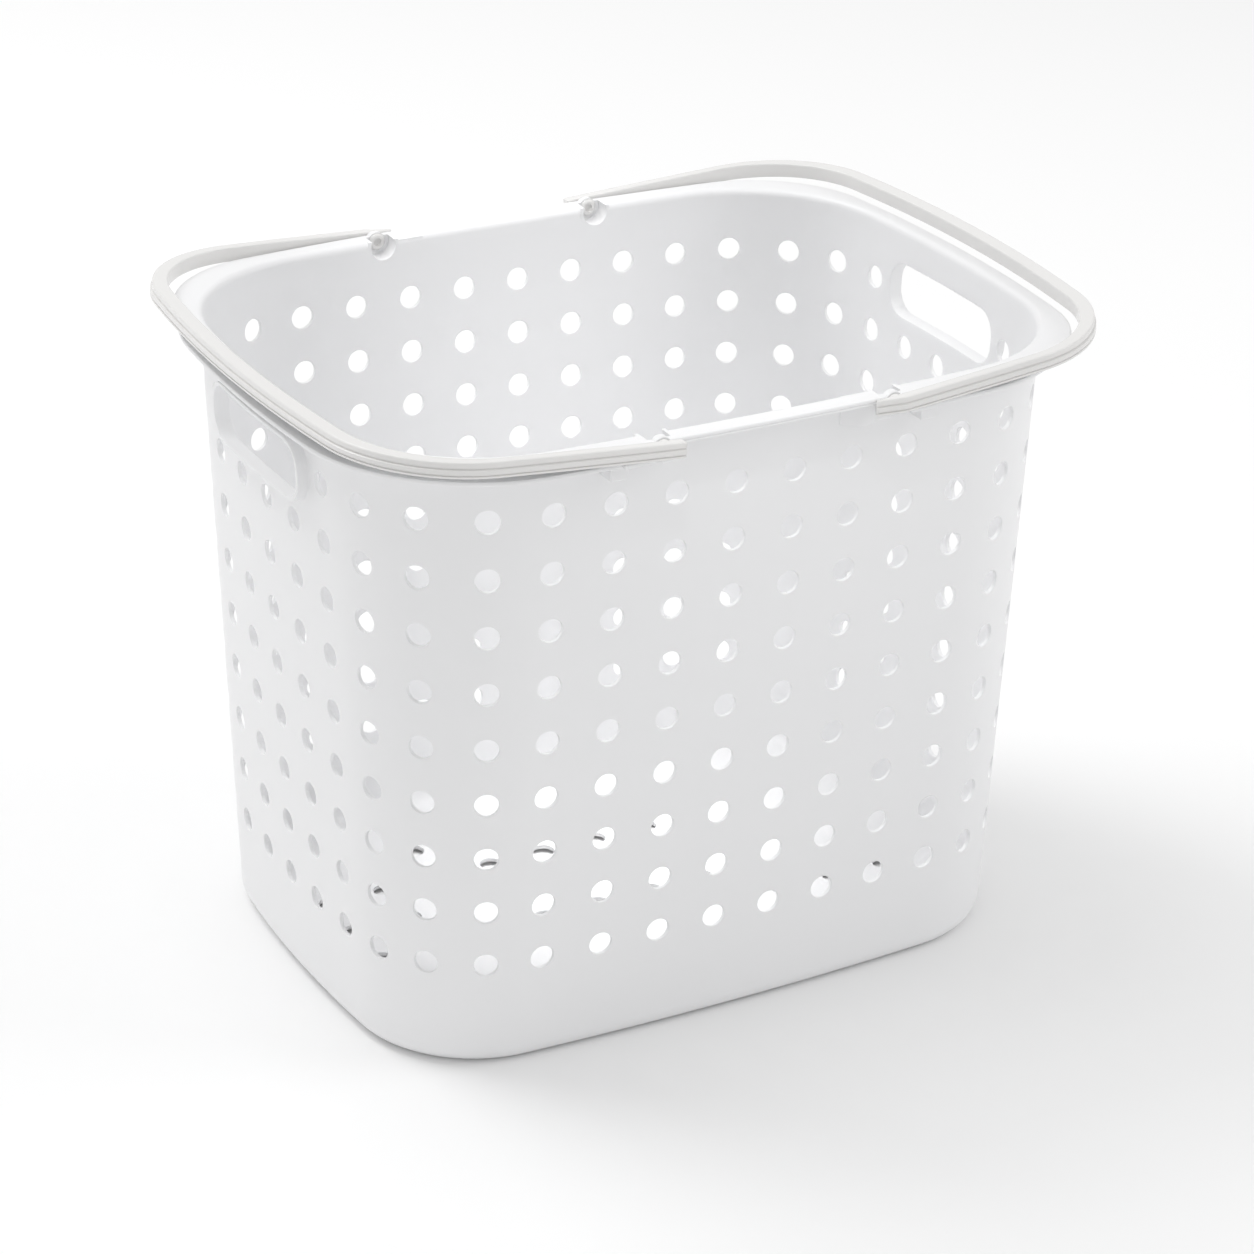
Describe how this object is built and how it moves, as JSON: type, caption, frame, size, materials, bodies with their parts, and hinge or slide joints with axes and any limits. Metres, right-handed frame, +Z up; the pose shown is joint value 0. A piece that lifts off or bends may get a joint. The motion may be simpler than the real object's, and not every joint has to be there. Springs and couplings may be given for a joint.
{
  "type": "laundry basket with swing handles",
  "caption": "Open-topped perforated plastic laundry basket with a flared rim, oval hand slots and swing handles that lie round the rim.",
  "frame": {"origin": "middle of the base, on the surface the basket stands on", "axes": "+X along the long sides towards the right handle, +Y towards the back long side, +Z up"},
  "size_m": [0.4576, 0.3506, 0.367],
  "materials": {
    "basket": "satin white polypropylene, slightly translucent",
    "handles": "satin warm white polypropylene"
  },
  "bodies": {
    "basket": {"basket": "basket"},
    "left_handle": {"left_handle": "handles"},
    "right_handle": {"right_handle": "handles"}
  },
  "joints": [
    {"name": "left_handle_swing", "type": "hinge", "parent": "basket", "child": "left_handle", "pos_m": [-0.067, 0, 0.3522], "axis": [0, 1, 0], "range_deg": [0, 108]},
    {"name": "right_handle_swing", "type": "hinge", "parent": "basket", "child": "right_handle", "pos_m": [0.067, 0, 0.3522], "axis": [0, -1, 0], "range_deg": [0, 108]}
  ]
}
